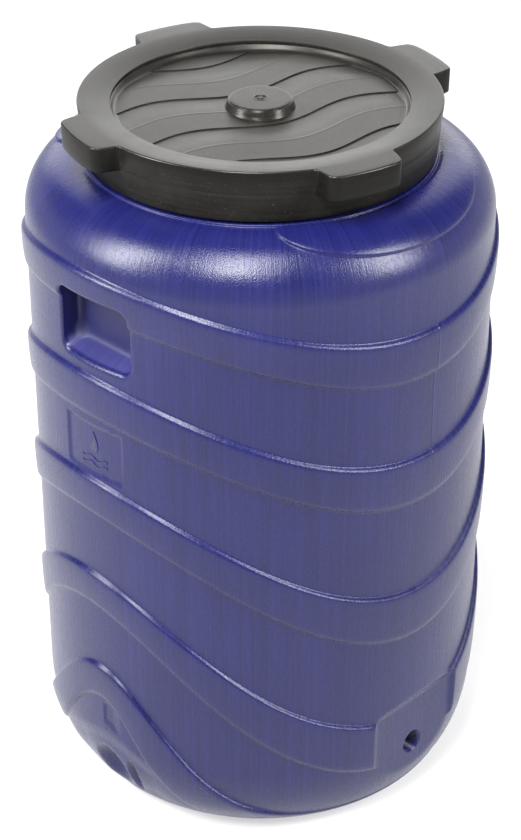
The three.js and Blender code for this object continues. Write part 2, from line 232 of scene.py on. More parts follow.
def wall_rows():
    counts_band, counts_gap = (8, 16, 16, 14, 20), (26, 42, 32, 40)
    rows = gap_rows(FLAT, RIBS[0][0] - 1.2, 46)
    for i, rib in enumerate(RIBS):
        rows += band_rows(rib, counts_band[i])
        if i < 4:
            rows += gap_rows(rib[1] + 4, RIBS[i + 1][0] - 1.2, counts_gap[i])
    z = np.array([row[0] for row in rows])
    raised = np.array([row[1] for row in rows])
    z = np.maximum.accumulate(z + 1e-4 * np.arange(len(z))[:, None], axis=0)
    return plain_radius(z) + raised * rib_fade(z), z


def leaf_edge():
    away = np.minimum((90 - DELTA) / LEAF_HALF, 1)
    return 90 - (90 - LEAF_SLOPE) * (1 - away ** LEAF_BLUNT) ** (1 / LEAF_BLUNT)


def shoulder_rows():
    """Rows over the shoulder fillet by slope, with the low raised leaf above its lower edge."""
    start = np.degrees(np.arcsin(np.clip((RIBS[4][1] + 4.2 - SHOULDER_Z) / SHOULDER_R, 0, 1)))
    edge = np.minimum(leaf_edge(), 84)
    fade = 1 - smooth(leaf_edge(), 80, 90)
    rows = []
    for t in np.linspace(0, 1, 20)[:-1]:
        rows.append((start + (edge - 2.2 - start) * t, FLAT))
    for offset, raised in ((-2.2, 0), (-1.3, 0.1), (-0.7, 0.45), (-0.2, 1.1), (0.4, 1.75), (1.2, 2.2), (2.4, 2.45)):
        rows.append((edge + offset, raised * fade))
    for t in np.linspace(0, 1, 14)[1:]:
        rows.append((edge + 2.4 + (91 - edge - 2.4) * t, LEAF_RAISE * fade))
    slope = np.radians(np.minimum([row[0] for row in rows], 90))
    reach = SHOULDER_R + np.array([row[1] for row in rows])
    return WALL_R - SHOULDER_R + reach * np.cos(slope), SHOULDER_Z + reach * np.sin(slope)


def neck_rows():
    """The collar under the lid, the threaded neck, and its rounded lip."""
    collar = rounded([(185, SHOULDER_TOP), (181.2, SHOULDER_TOP), (180.8, SHOULDER_TOP + 2.5),
                      (NECK_R, SHOULDER_TOP + 2.5), (NECK_R, SHOULDER_TOP + 12)], 1.2, 3, closed=False)[1:]
    lip = [(NECK_R, 765.5), (NECK_R, NECK_TOP - 0.8), (NECK_R - 0.8, NECK_TOP), (NECK_R - 2.6, NECK_TOP)]
    section = np.array(collar + [(NECK_R, height) for height in np.arange(734, 764, 0.75)] + lip)
    r, z = section[:, :1] + FLAT, section[:, 1:] + FLAT
    turn = (PHI / TAU) % 1
    for lap in (0, 1):
        along = lap + turn
        bead = 1 - smooth(np.abs(z - THREAD_START - THREAD_PITCH * along), BEAD_FLAT, BEAD_FOOT)
        ends = smooth(np.minimum(along, THREAD_TURNS - along), 0, BEAD_FADE)
        r = r + (THREAD_CREST - NECK_R) * bead * ends * (z > 726)
    return r, z


def inner_rows():
    """The inside, from the lip down to the bottom."""
    section = [(NECK_R - WALL, NECK_TOP - 1)] + [(NECK_R - WALL, z) for z in (750, 735, 722, 718)]
    for slope in range(84, -1, -7):
        reach = SHOULDER_R - WALL
        section.append((WALL_R - SHOULDER_R + reach * math.cos(math.radians(slope)),
                        SHOULDER_Z + reach * math.sin(math.radians(slope))))
    section += [(float(plain_radius(z)) - WALL, z) for z in np.arange(656, 20, -8)]
    section += [(BASE_R + 10, WALL + 3), (BASE_R - 2, WALL + 0.6), (175, WALL + 1)]
    section += [(150, DOME + WALL), (0, DOME + WALL)]
    section = np.array(section)
    return section[:, :1] + FLAT, section[:, 1:] + FLAT


def base_rows():
    section = [(0, DOME), (60, DOME), (120, DOME)]
    section += rounded([(120, DOME), (150, DOME), (173, 1), (178, 0), (BASE_R, 0)], 6, 4, closed=False)[1:]
    section = np.array(section)
    return section[:, :1] + FLAT, section[:, 1:] + FLAT


def pad_limit(x, z, grow=0.0):
    """How far the wall may reach towards -Y at the tap pad: a flat with sloping sides and ceiling."""
    side = PAD_Y + (np.abs(x) - PAD_HALF)
    ceiling = PAD_Y + (z - PAD_TOP) / PAD_RISE
    return soft_max(soft_max(side, ceiling, 3.0), PAD_Y + 0 * x, 3.0) - grow


def cut_pad(p, grow=0.0):
    x, y, z = p[..., 0], -p[..., 1], p[..., 2]
    near = (y > 120) & (z < 200) & (np.abs(x) < 120)
    p[..., 1] = np.where(near, -soft_min(y, pad_limit(x, z, grow), 1.6), -y)


def heel_limit(y, z, grow=0.0):
    """How far out the wall may reach at the heel's two scoops: a broad one and a narrow slot beside it."""
    limits = []
    for middle, half, height, tall, depth in HEEL_SCOOPS:
        inside = 1 - ((y - middle) / (half + grow)) ** 2 - ((z - height) / (tall + grow)) ** 2
        hollow = HEEL_X - (depth + grow) * np.sqrt(np.clip(inside, 0, 1))
        limits.append(np.where(inside > 0, hollow, HEEL_X + 40 * np.clip(-inside, 0, 1)))
    return soft_min(limits[0], limits[1], 2.0)


def heel_arch(y, z):
    """A slight sinking of the wall below an arched line at each heel."""
    away = np.degrees(np.arcsin(np.clip(y / WALL_R, -1, 1)))
    arch = 73 + 33 * np.exp(-0.5 * (away / 10.5) ** 2)
    return 3.0 * smooth(arch - z, -1, 26) * (1 - smooth(np.abs(away), 11, 20)) * smooth(z, 8, 30)


def cut_heels(p, grow=0.0):
    x, y, z = p[..., 0], p[..., 1], p[..., 2]
    side = np.sign(x)
    depth = np.abs(x)
    near = (depth > 150) & (np.abs(y) < 110) & (z < 130)
    sunk = depth - heel_arch(y, z)
    p[..., 0] = np.where(near, side * soft_min(sunk, heel_limit(y, z, grow), 9.0), x)


def grip_distance(y, z):
    """Distance into the grip's opening, and the direction in which it grows."""
    middle = (GRIP_LOW + GRIP_HIGH) / 2
    half_y, half_z = GRIP_HALF - GRIP_CORNER, (GRIP_HIGH - GRIP_LOW) / 2 - GRIP_CORNER
    y = y - GRIP_Y
    qy, qz = np.abs(y) - half_y, np.abs(z - middle) - half_z
    outside = np.hypot(np.maximum(qy, 0), np.maximum(qz, 0))
    corner = (qy > 0) & (qz > 0)
    sdf = np.where(corner, outside, np.maximum(qy, qz)) - GRIP_CORNER
    gy = np.where(corner, qy / np.maximum(outside, 1e-6), (qy >= qz) * 1.0) * np.sign(y)
    gz = np.where(corner, qz / np.maximum(outside, 1e-6), (qy < qz) * 1.0) * np.sign(z - middle)
    return -sdf, -gy, -gz


def grip_profile(edge=3.6, foot=8.0, wall=11.0):
    """Where a point at distance u into the opening goes: its new distance, and its share of the pocket's depth."""
    u, distance, depth = [-edge], [-edge], [0.0]
    for t in np.linspace(0, 1, 6)[1:]:
        u.append(-edge + t * edge * 1.3)
        distance.append(-edge * (1 - math.sin(t * math.pi / 2)))
        depth.append(0.10 * (1 - math.cos(t * math.pi / 2)))
    start = u[-1]
    for t in np.linspace(0, 1, 8)[1:]:
        u.append(start + wall * t)
        distance.append(0.8 * t)
        depth.append(0.10 + 0.75 * t)
    start = u[-1]
    for t in np.linspace(0, 1, 7)[1:]:
        u.append(start + foot * t)
        distance.append(0.8 + foot * (1 - math.cos(t * math.pi / 2)))
        depth.append(0.85 + 0.15 * math.sin(t * math.pi / 2))
    u += [start + foot + 10, 200]
    distance += [start + foot + 10, 200]
    depth += [1.0, 1.0]
    return u, distance, depth


def cut_grips(p):
    """Presses a pocket with a flat back and rounded edges into the wall on each side."""
    u_table, distance_table, depth_table = grip_profile()
    x, y, z = p[..., 0].copy(), p[..., 1].copy(), p[..., 2].copy()
    near = (np.abs(x) > 200) & (np.abs(y) < 75) & (z > 550) & (z < 670)
    u, gy, gz = grip_distance(y, z)
    move = np.interp(u, u_table, distance_table) - u
    share = np.interp(u, u_table, depth_table)
    tilt = GRIP_RISE * share * smooth((GRIP_LOW + GRIP_HIGH) / 2 - z, -10, 25)
    new_y, new_z = y + gy * move, z + gz * move + tilt
    surface = np.sqrt(np.maximum(x * x + y * y - new_y * new_y, 1))
    new_x = np.sign(x) * (surface + (GRIP_BACK - surface) * share)
    hit = near & (u > u_table[0])
    for axis, value in enumerate((new_x, new_y, new_z)):
        p[..., axis] = np.where(hit, value, p[..., axis])


def clear_grips(p):
    """Moves the inside surface well behind the grips."""
    x, y, z = p[..., 0], p[..., 1], p[..., 2]
    u, _, _ = grip_distance(y, z)
    limit = GRIP_BACK - WALL + 60 * (1 - smooth(u, -22, -8))
    near = (np.abs(x) > 150) & (np.abs(y) < 90) & (z > 530) & (z < 690)
    p[..., 0] = np.where(near, np.sign(x) * np.minimum(np.abs(x), limit), x)


def clear_tap(p):
    """Leaves the solid boss behind the tap hole."""
    x, y, z = p[..., 0], -p[..., 1], p[..., 2]
    distance = np.hypot(x, z - TAP_Z)
    limit = PAD_Y - TAP_DEPTH + 60 * smooth(distance, 24, 34)
    p[..., 1] = np.where((y > 120) & (distance < 60), -np.minimum(y, limit), -y)


def sink_badges(p):
    """A shallow plate recess under the -X grip, and a small slanted one low down."""
    angle = np.degrees(np.arctan2(p[..., 1], p[..., 0])) % 360 - 180
    z = p[..., 2]
    across = (BADGE_HALF - np.abs(angle)) * WALL_R * math.pi / 180
    inside = np.minimum(across, np.minimum(z - BADGE_LOW, BADGE_HIGH - z))
    sunk = BADGE_DEPTH * smooth(inside, -0.9, 0.9)
    along = (angle - SLANT_ANGLE) * WALL_R * math.pi / 180
    slant = np.maximum(np.abs(along) - SLANT_HALF, np.abs(z - SLANT_Z + SLANT_SLOPE * along) - SLANT_HALF - 0.5)
    sunk = sunk + SLANT_DEPTH * smooth(-slant, -0.5, 0.5) * smooth(10 - along, -4, 12) * (z < 200)
    scale = 1 - np.where(np.abs(angle) < 30, sunk, 0) / np.hypot(p[..., 0], p[..., 1]).clip(1)
    p[..., 0] *= scale
    p[..., 1] *= scale


def to_points(r, z):
    return np.stack([r * np.cos(PHI), r * np.sin(PHI), z], axis=-1)


def make_body():
    outer = to_points(*[np.concatenate(parts) for parts in zip(wall_rows(), shoulder_rows())])
    height = outer[..., 2]
    seam = 0.35 * np.exp(-((DELTA - 90) / 0.16) ** 2) * smooth(height, 430, 480) * smooth(-height, -640, -590)
    reach = np.hypot(outer[..., 0], outer[..., 1])
    outer[..., :2] *= (1 + seam / reach)[..., None]
    sink_badges(outer)
    cut_heels(outer)
    cut_pad(outer)
    cut_grips(outer)
    inside = to_points(*inner_rows())
    cut_pad(inside, WALL)
    cut_heels(inside, WALL)
    clear_grips(inside)
    clear_tap(inside)
    points = np.concatenate([to_points(*base_rows()), outer, to_points(*neck_rows()), inside])
    body = grid_object("barrel_shell", points)
    drill_tap_hole(body)
    return body


def drill_tap_hole(body):
    """Cuts the threaded tap hole with a matching threaded plug."""
    columns, per_turn = 48, 10
    length = TAP_DEPTH + 14
    rows = int(length / TAP_PITCH * per_turn)
    depth = np.linspace(-4, length, rows)[:, None]
    angle = np.linspace(0, TAU, columns, endpoint=False)
    phase = (depth / TAP_PITCH + angle / TAU) % 1
    r = TAP_BORE + (TAP_ROOT - TAP_BORE) * (1 - np.abs(2 * phase - 1))
    r = np.maximum(r, TAP_ROOT + 1.1 - np.clip(depth, -4, 10))
    ends = [np.zeros((1, columns)), r, np.zeros((1, columns))]
    r = np.concatenate(ends)
    depth = np.concatenate([depth[:1], depth, depth[-1:]]) + 0 * angle
    points = np.stack([r * np.cos(angle), depth - PAD_Y, TAP_Z + r * np.sin(angle)], axis=-1)
    plug = grid_object("tap_plug", points)
    cut = body.modifiers.new("tap_hole", "BOOLEAN")
    cut.operation, cut.solver, cut.object = "DIFFERENCE", "EXACT", plug
    with bpy.context.temp_override(object=body, active_object=body, selected_objects=[body]):
        bpy.ops.object.modifier_apply(modifier=cut.name)
    bpy.data.objects.remove(plug)
    body.data.shade_smooth()
    body.data.set_sharp_from_angle(angle=math.radians(55))


def make_motif():
    """A plain drop over two ripples, standing 0.7 mm out of the badge recess."""
    top = WALL_R - BADGE_DEPTH + 0.7
    outlines = []
    drop = []
    for t in np.linspace(0, TAU, 40, endpoint=False):
        width = 8.5 * math.sin(t) * math.sin(t / 2) ** 1.3
        drop.append((width, 8 + 12.5 * math.cos(t)))
    outlines.append(drop)
    for level in (-12, -19):
        line = [(s, level + 2.0 * math.sin(s / 3.6)) for s in np.linspace(-19, 19, 39)]
        outlines.append([(s, v + 1.1) for s, v in line] + [(s, v - 1.1) for s, v in reversed(line)])
    points, faces = [], []
    for outline in outlines:
        start, count = len(points), len(outline)
        for radius, shrink in ((top - 2.2, 1.0), (top - 0.25, 1.0), (top, 0.97)):
            centre = np.mean(outline, axis=0)
            for s, v in outline:
                s, v = centre[0] + (s - centre[0]) * shrink, centre[1] + (v - centre[1]) * shrink
                angle = math.pi - s / WALL_R
                points.append((radius * math.cos(angle), radius * math.sin(angle), v + (BADGE_LOW + BADGE_HIGH) / 2))
        for level in (0, 1):
            for k in range(count):
                a, b = start + level * count + k, start + level * count + (k + 1) % count
                faces.append((a, b, b + count, a + count))
        faces.append(tuple(range(start + 2 * count, start + 3 * count)))
        faces.append(tuple(reversed(range(start, start + count))))
    return make_object("badge_motif", points, faces, sharp=40)


# ---------- the screw ring ----------
def lug_plan():
    """Plan of one lug in degrees and mm: (angle from its square end, radius, ring angle behind it)."""
    full = LUG_R - RING_R
    root = [(-1.0, 0), (-0.62, 0.05), (-0.3, 0.4), (-0.08, 1.2), (0.05, 2.6), (0.55, 7), (1.15, 12), (1.8, 17)]
    corner = [(2.35, 20.0), (2.62, 21.2), (3.0, 22.1), (3.5, 22.7), (4.2, full)]
    square = root + corner
    base = list(np.linspace(-1.0, 4.2, len(square)))
    arc = [(angle, full) for angle in np.arange(5.7, 20.5, 1.4)]
    rounding = [(21.3, full), (22.1, 22.75), (22.8, 22.2), (23.4, 21.4), (24.0, 20.1), (24.35, 18.7)]
    wall = [(24.75, 15), (25.2, 11), (25.65, 7), (25.95, 4)]
    cove = [(26.15, 2.5), (26.4, 1.4), (26.75, 0.6), (27.2, 0.15), (27.9, 0)]
    rest = arc + rounding + wall + cove
    plan = square + rest
    base += [angle for angle, _ in rest]
    return [(angle, RING_R + out, behind) for (angle, out), behind in zip(plan, base)]


def ring_columns():
    """Columns of the ring: (ring angle, lug angle, outer radius)."""
    columns = []
    for index in range(4):
        start = LUG_FIRST - LUG_SPAN / 2 + 90 * index
        plan = lug_plan()
        if index % 2 == 0:
            plan = [(LUG_SPAN - a, r, LUG_SPAN - b) for a, r, b in reversed(plan)]
        columns += [(start + b, start + a, r) for a, r, b in plan]
        low, high = start + plan[-1][2], start + 90 + lug_end_of(index + 1)
        for angle in np.linspace(low, high, 32)[1:-1]:
            columns.append((angle, angle, RING_R))
    return np.array(columns)


def lug_end_of(index):
    return 0.0 if index % 2 == 0 else -1.0


def make_ring():
    columns = ring_columns()
    ring_angle, lug_angle, reach = np.radians(columns[:, 0]), np.radians(columns[:, 1]), columns[:, 2]
    lugged = (reach - LUG_WALL > RING_R + 0.6).astype(float)

    def skirt(z):
        return RING_FOOT + (RING_R - RING_FOOT) * (z - RING_LOW) / (RING_TOP - RING_LOW)

    rows = []  # (radius, height, lug share): the angle goes from the ring's to the lug's by the lug share

    def row(radius, height, lug=0.0):
        rows.append((radius + 0 * reach, height + 0 * reach, lug + 0 * reach))

    for z in np.arange(RING_LOW + 1.2, LUG_LOW - 1, 3.0):
        row(skirt(z), z)
    row(skirt(LUG_LOW), LUG_LOW - 0.2)
    hollow_top = RING_TOP - LUG_WALL
    row(skirt(LUG_LOW), LUG_LOW + lugged)
    row(skirt(LUG_LOW + lugged * (hollow_top - 1 - LUG_LOW)), LUG_LOW + lugged * (hollow_top - 1 - LUG_LOW))
    inner = skirt(LUG_LOW) + lugged * (reach - LUG_WALL - skirt(LUG_LOW))
    row(inner, LUG_LOW + lugged * (hollow_top - 1 - LUG_LOW), lugged)
    row(inner, LUG_LOW + lugged * 0.3, lugged)
    outward = smooth(reach, RING_R, RING_R + 3)
    draft = (RING_R - skirt(LUG_LOW)) * (1 - outward) + 0.5 * outward
    low_reach = reach - draft
    row(np.maximum(inner, low_reach - 0.9), LUG_LOW, outward)
    row(low_reach - 0.2, LUG_LOW + 0.35, outward)
    row(low_reach, LUG_LOW + 1.0, outward)
    for t in (0.33, 0.66):
        row(low_reach + (reach - low_reach) * t, LUG_LOW + 1 + (RING_TOP - 3 - LUG_LOW) * t, 1.0)
    for drop, inset in ((2.0, 0.0), (1.1, 0.18), (0.45, 0.6), (0.08, 1.25), (0.0, 2.0)):
        row(reach - inset, RING_TOP - drop, 1.0)
    for t in (0.25, 0.5, 0.75, 1.0):
        row((reach - 2) * (1 - t) + (RING_R - 2.2) * t, RING_TOP - 0.02 * t, 1 - t)
    for t in (0.06, 0.2, 0.35, 0.5, 0.65, 0.8, 0.94):
        row(RING_R - 2.2 + (RING_IN + 1 - RING_R + 2.2) * t, RING_TOP + (RING_IN_TOP - RING_TOP) * t ** 1.5)
    row(RING_IN + 0.3, RING_IN_TOP - 0.15)
    row(RING_IN, RING_IN_TOP - 0.8)
    row(RING_IN, RING_IN_TOP - RING_PLATE + 0.4)
    row(RING_IN + 0.5, RING_IN_TOP - RING_PLATE)
    row(RING_R - RING_SKIRT - 1.5, RING_TOP - RING_PLATE - 0.4)
    row(RING_R - RING_SKIRT - 0.3, RING_TOP - RING_PLATE - 1.6)
    turn = (ring_angle / TAU) % 1
    for z in np.arange(770, RING_LOW + 1, -0.9):
        inside = skirt(z) - RING_SKIRT + 0 * reach
        for lap in (0, 1):
            along = lap + turn
            bead = 1 - smooth(np.abs(z - RING_THREAD_START - THREAD_PITCH * along), BEAD_FLAT, BEAD_FOOT)
            ends = smooth(np.minimum(along, RING_THREAD_TURNS - along), 0, BEAD_FADE)
            inside = inside + (RING_THREAD_CREST - inside) * bead * ends
        row(inside, z)
    row(RING_FOOT - RING_SKIRT + 0.6, RING_LOW + 0.1)
    row(RING_FOOT - 1.0, RING_LOW)
    row(RING_FOOT - 0.2, RING_LOW + 0.4)
    r, z, lug = [np.array([entry[k] for entry in rows]) for k in range(3)]
    angle = ring_angle + (lug_angle - ring_angle) * lug
    points = np.stack([r * np.cos(angle), r * np.sin(angle), z], axis=-1)
    return grid_object("lugged_ring", points, close_rows=True, sharp=50)


# ---------- the inner lid ----------
def panel_relief(c):
    """Height of the wavy bands: a sharp step with a fine groove at its foot, a flat top and a soft run-out."""
    c = (c + 8) % WAVE_STEP - 8
    crest = 0.16 * np.exp(-((c - WAVE_WIDTH) / 1.3) ** 2)
    fall = 1 - 0.12 * smooth(c, WAVE_WIDTH - 1, WAVE_WIDTH + 1.5) - 0.88 * smooth(c, WAVE_WIDTH + 1, WAVE_STEP - 6)
    rise = np.where(c < 0, 0, (0.85 + 0.15 * smooth(c, 0, WAVE_WIDTH)) * fall + crest)
    groove = -0.4 * np.exp(-((c + 0.9) / 0.5) ** 2)
    return 1.4 * rise + groove


def make_panel():
    """The lid's panel: a grid whose lines follow the waves, clipped to a disc."""
    reach = PANEL_R + 1.5
    u = np.arange(-150, 151, 3.0)
    lines = []
    for k in range(-2, 4):
        foot = -WAVE_STEP * k
        crest = foot + WAVE_WIDTH
        lines += list(foot + np.array([-4.0, -2.0, -1.4, -1.1, -0.8, -0.5, -0.2, -0.05, 0.05, 0.5]))
        lines += list(crest + np.array([-9.0, -6.0, -3.5, -2.0, -1.2, -0.5, 0.3, 1.1, 2.0, 3.5, 6.0, 10.0]))
        lines += list(foot + np.linspace(4, WAVE_WIDTH - 13, 6))
        lines += list(foot + np.linspace(WAVE_WIDTH + 13, WAVE_STEP - 7, 8))
    c = np.sort(np.array(lines))
    v = c[:, None] + WAVE_FIRST - WAVE_SWING * np.cos(TAU * u / WAVE_PERIOD)
    u = u + 0 * v
    height = PANEL_Z + panel_relief(c)[:, None] + 0 * u
    distance = np.hypot(u, v)
    clip = np.where(distance > reach, reach / distance, 1)
    u, v = u * clip, v * clip
    turn = math.radians(WAVE_TURN)
    x, y = u * math.cos(turn) - v * math.sin(turn), u * math.sin(turn) + v * math.cos(turn)
    rows, columns = x.shape
    points = np.stack([x, y, height], axis=-1).reshape(-1, 3)
    keep = (distance < reach + 6).reshape(-1)
    faces = []
    for i in range(rows - 1):
        for j in range(columns - 1):
            corner = (i * columns + j, i * columns + j + 1, (i + 1) * columns + j + 1, (i + 1) * columns + j)
            if any(keep[k] for k in corner):
                faces.append(corner)
    return make_object("lid_panel", points, faces, sharp=30)


def make_lid_rim():
    section = [
        (130, UNDER_Z, 0.3), (PANEL_R + 2.5, UNDER_Z, 1), (PANEL_R + 7.5, UNDER_Z + 6, 1),
        (162.6, UNDER_Z + 6, 0.8), (162.6, 758), (165.5, 758), (165.5, 770.8, 0.5), (FLANGE_R, 770.8),
        (FLANGE_R, 774.4), (152.5, 772.2, 0.6), (150.8, 771.7, 0.9), (147.6, 767.2, 3.2),
        (PANEL_R - 1.5, PANEL_Z - 0.1, 1.6), (130, PANEL_Z - 0.2, 0.3),
    ]
    return grid_object("lid_rim", turned(rounded(section, 0.7, 4), 360), close_rows=True, sharp=50)


def make_lid_underside():
    section = [(0, KNOB_Z - 3.4), (26, KNOB_Z - 3.4), (29.5, KNOB_Z - 6), (31, UNDER_Z), (131, UNDER_Z),
               (131, PANEL_Z - 0.5), (36, PANEL_Z - 0.5), (33, KNOB_Z - 1.5), (0, KNOB_Z - 1.5)]
    return grid_object("lid_underside", turned(rounded(section, 0.8, 3, closed=False), 180), sharp=50)


def make_knob():
    section = [
        (KNOB_BASE + 5, PANEL_Z - 0.6), (KNOB_BASE + 1.2, PANEL_Z + 0.1, 1.4), (KNOB_TOP + 0.6, KNOB_Z - 0.6, 1.3),
        (KNOB_TOP - 2, KNOB_Z, 1.5), (GATE_R + 1.6, KNOB_Z, 0.6), (GATE_R, KNOB_Z + 0.5, 0.7),
        (GATE_R - 1.4, KNOB_Z - 0.9, 0.8), (3.0, KNOB_Z - 0.9, 0.5), (2.4, KNOB_Z + 0.1, 0.5), (0, KNOB_Z + 0.2),
    ]
    return grid_object("lid_knob", turned(rounded(section, 1, 5, closed=False), 144), sharp=60)


def make_gasket():
    section = rounded([(166, 768.3), (174, 768.3), (174, 770.5), (166, 770.5)], 0.8, 4)
    return grid_object("gasket_ring", turned(section, 180), close_rows=True, sharp=50)


# ---------- materials ----------
class Nodes:
    """Short hand for building a node material."""

    def __init__(self, name):
        self.material = bpy.data.materials.new(name)
        self.material.use_nodes = True
        self.tree = self.material.node_tree
        self.shader = self.tree.nodes["Principled BSDF"]
        self.place = self.add("ShaderNodeTexCoord").outputs["Object"]

    def add(self, kind, **settings):
        node = self.tree.nodes.new(kind)
        for key, value in settings.items():
            setattr(node, key, value)
        return node

    def link(self, source, target):
        if isinstance(source, (int, float)):
            target.default_value = source
        else:
            self.tree.links.new(source, target)

    def math(self, operation, a, b=0.0, c=None):
        node = self.add("ShaderNodeMath", operation=operation)
        self.link(a, node.inputs[0])
        self.link(b, node.inputs[1])
        if c is not None:
            self.link(c, node.inputs[2])
        return node.outputs[0]

    def band(self, value, low, high):
        """0 below low, 1 above high, smooth between."""
        node = self.add("ShaderNodeMapRange", interpolation_type="SMOOTHSTEP")
        self.link(value, node.inputs["Value"])
        node.inputs["From Min"].default_value = low
        node.inputs["From Max"].default_value = high
        return node.outputs[0]

    def noise(self, scale, detail=2.0, rough=0.5, stretch=(1, 1, 1), place=None):
        mapping = self.add("ShaderNodeMapping")
        mapping.inputs["Scale"].default_value = stretch
        self.link(place or self.place, mapping.inputs["Vector"])
        node = self.add("ShaderNodeTexNoise")
        self.link(mapping.outputs[0], node.inputs["Vector"])
        node.inputs["Scale"].default_value = scale
        node.inputs["Detail"].default_value = detail
        node.inputs["Roughness"].default_value = rough
        return node.outputs[0]

    def ramp(self, value, stops):
        node = self.add("ShaderNodeValToRGB")
        elements = node.color_ramp.elements
        while len(elements) < len(stops):
            elements.new(0.5)
        for element, (position, colour) in zip(elements, stops):
            element.position = position
            element.color = (*colour, 1)
        self.link(value, node.inputs[0])
        return node.outputs[0]

    def mix(self, factor, a, b):
        node = self.add("ShaderNodeMix", data_type="RGBA")
        self.link(factor, node.inputs["Factor"])
        for value, socket in ((a, node.inputs[6]), (b, node.inputs[7])):
            if isinstance(value, tuple):
                socket.default_value = (*value, 1)
            else:
                self.link(value, socket)
        return node.outputs[2]

    def cylinder(self):
        """Object coordinates x, y and z, with the angle round the axis in radians and the radius."""
        split = self.add("ShaderNodeSeparateXYZ")
        self.link(self.place, split.inputs[0])
        x, y, z = split.outputs
        angle = self.math("ARCTAN2", y, x)
        radius = self.math("SQRT", self.math("MULTIPLY_ADD", x, x, self.math("MULTIPLY", y, y)))
        return x, y, z, angle, radius

    def bump(self, height, distance, strength=1.0, normal=None):
        node = self.add("ShaderNodeBump")
        node.inputs["Strength"].default_value = strength
        node.inputs["Distance"].default_value = distance
        self.link(height, node.inputs["Height"])
        if normal is not None:
            self.link(normal, node.inputs["Normal"])
        return node.outputs[0]

    def finish(self, colour, roughness, normal):
        self.link(colour, self.shader.inputs["Base Color"])
        self.link(roughness, self.shader.inputs["Roughness"])
        self.link(normal, self.shader.inputs["Normal"])
        return self.material


def body_plastic():
    m = Nodes("violet_polyethylene")
    _, y, z, angle, radius = m.cylinder()
    unrolled = m.add("ShaderNodeCombineXYZ")
    m.link(m.math("MULTIPLY", angle, WALL_R * MM), unrolled.inputs[0])
    m.link(z, unrolled.inputs[1])
    m.link(radius, unrolled.inputs[2])
    sheet = unrolled.outputs[0]
    streak = m.noise(330, 2, 0.6, (1, 0.015, 0.015), sheet)
    hair = m.noise(700, 1, 0.5, (1, 0.03, 0.03), sheet)
    broad = m.noise(60, 2, 0.5, (1, 0.05, 0.05), sheet)
    cloud = m.noise(9, 3, 0.55)
    grain = m.noise(760, 1, 0.5)
    tone = m.math("MULTIPLY_ADD", broad, 0.25, m.math("MULTIPLY", cloud, 0.25))
    tone = m.math("MULTIPLY_ADD", streak, 0.5, tone)
    colour = m.ramp(tone, [(0.36, (0.0058, 0.0072, 0.058)), (0.50, (0.0077, 0.0088, 0.071)),
                           (0.64, (0.0107, 0.0118, 0.088))])
    pocket = m.math("MULTIPLY", m.band(m.math("MULTIPLY", radius, -1.0), -0.2385, -0.2345), m.band(z, 0.564, 0.568))
    pocket = m.math("MULTIPLY", pocket, m.math("SUBTRACT", 1.0, m.band(z, 0.643, 0.647)))
    floor = m.math("MULTIPLY", pocket, m.math("SUBTRACT", 1.0, m.band(z, 0.576, 0.582)))
    # painted light: the floor of each grip pocket is mixed towards a lighter, streaky blue, standing in for the light
    # that falls on it
    colour = m.mix(m.math("MULTIPLY", floor, m.math("MULTIPLY_ADD", streak, 0.8, 0.2)), colour, (0.034, 0.033, 0.15))
    rough = m.math("MULTIPLY_ADD", streak, 0.12, m.math("MULTIPLY_ADD", grain, 0.13, 0.155))
    rough = m.math("MULTIPLY_ADD", pocket, 0.22, rough)
    height = m.math("MULTIPLY_ADD", streak, 0.9, m.math("MULTIPLY_ADD", grain, 1.3, m.math("MULTIPLY", hair, 0.5)))
    normal = m.bump(height, 0.00015)
    away = m.math("DIVIDE", m.math("ABSOLUTE", y), 0.05)
    hump = m.math("EXPONENT", m.math("MULTIPLY", m.math("MULTIPLY", away, away), -0.62))
    arch = m.math("MULTIPLY_ADD", hump, 0.033, 0.073)
    line = m.math("ABSOLUTE", m.math("SUBTRACT", z, arch))
    depth = m.math("SUBTRACT", 1.0, m.band(line, 0.0002, 0.0009))
    depth = m.math("MULTIPLY", depth, m.math("SUBTRACT", 1.0, m.band(away, 2.2, 3.4)))
    normal = m.bump(depth, -0.0003, 1.0, normal)
    gloss = m.math("MULTIPLY_ADD", m.band(z, 0.590, 0.640), 0.08, 0.42)
    m.shader.inputs["Specular IOR Level"].default_value = 0.42
    # painted shade: the specular level drops over the top of the shoulder, standing in for the shade and the dark
    # reflection of the ring above it
    m.link(m.math("MULTIPLY_ADD", m.band(z, 0.698, 0.716), -0.22, gloss), m.shader.inputs["Specular IOR Level"])
    return m.finish(colour, rough, normal)


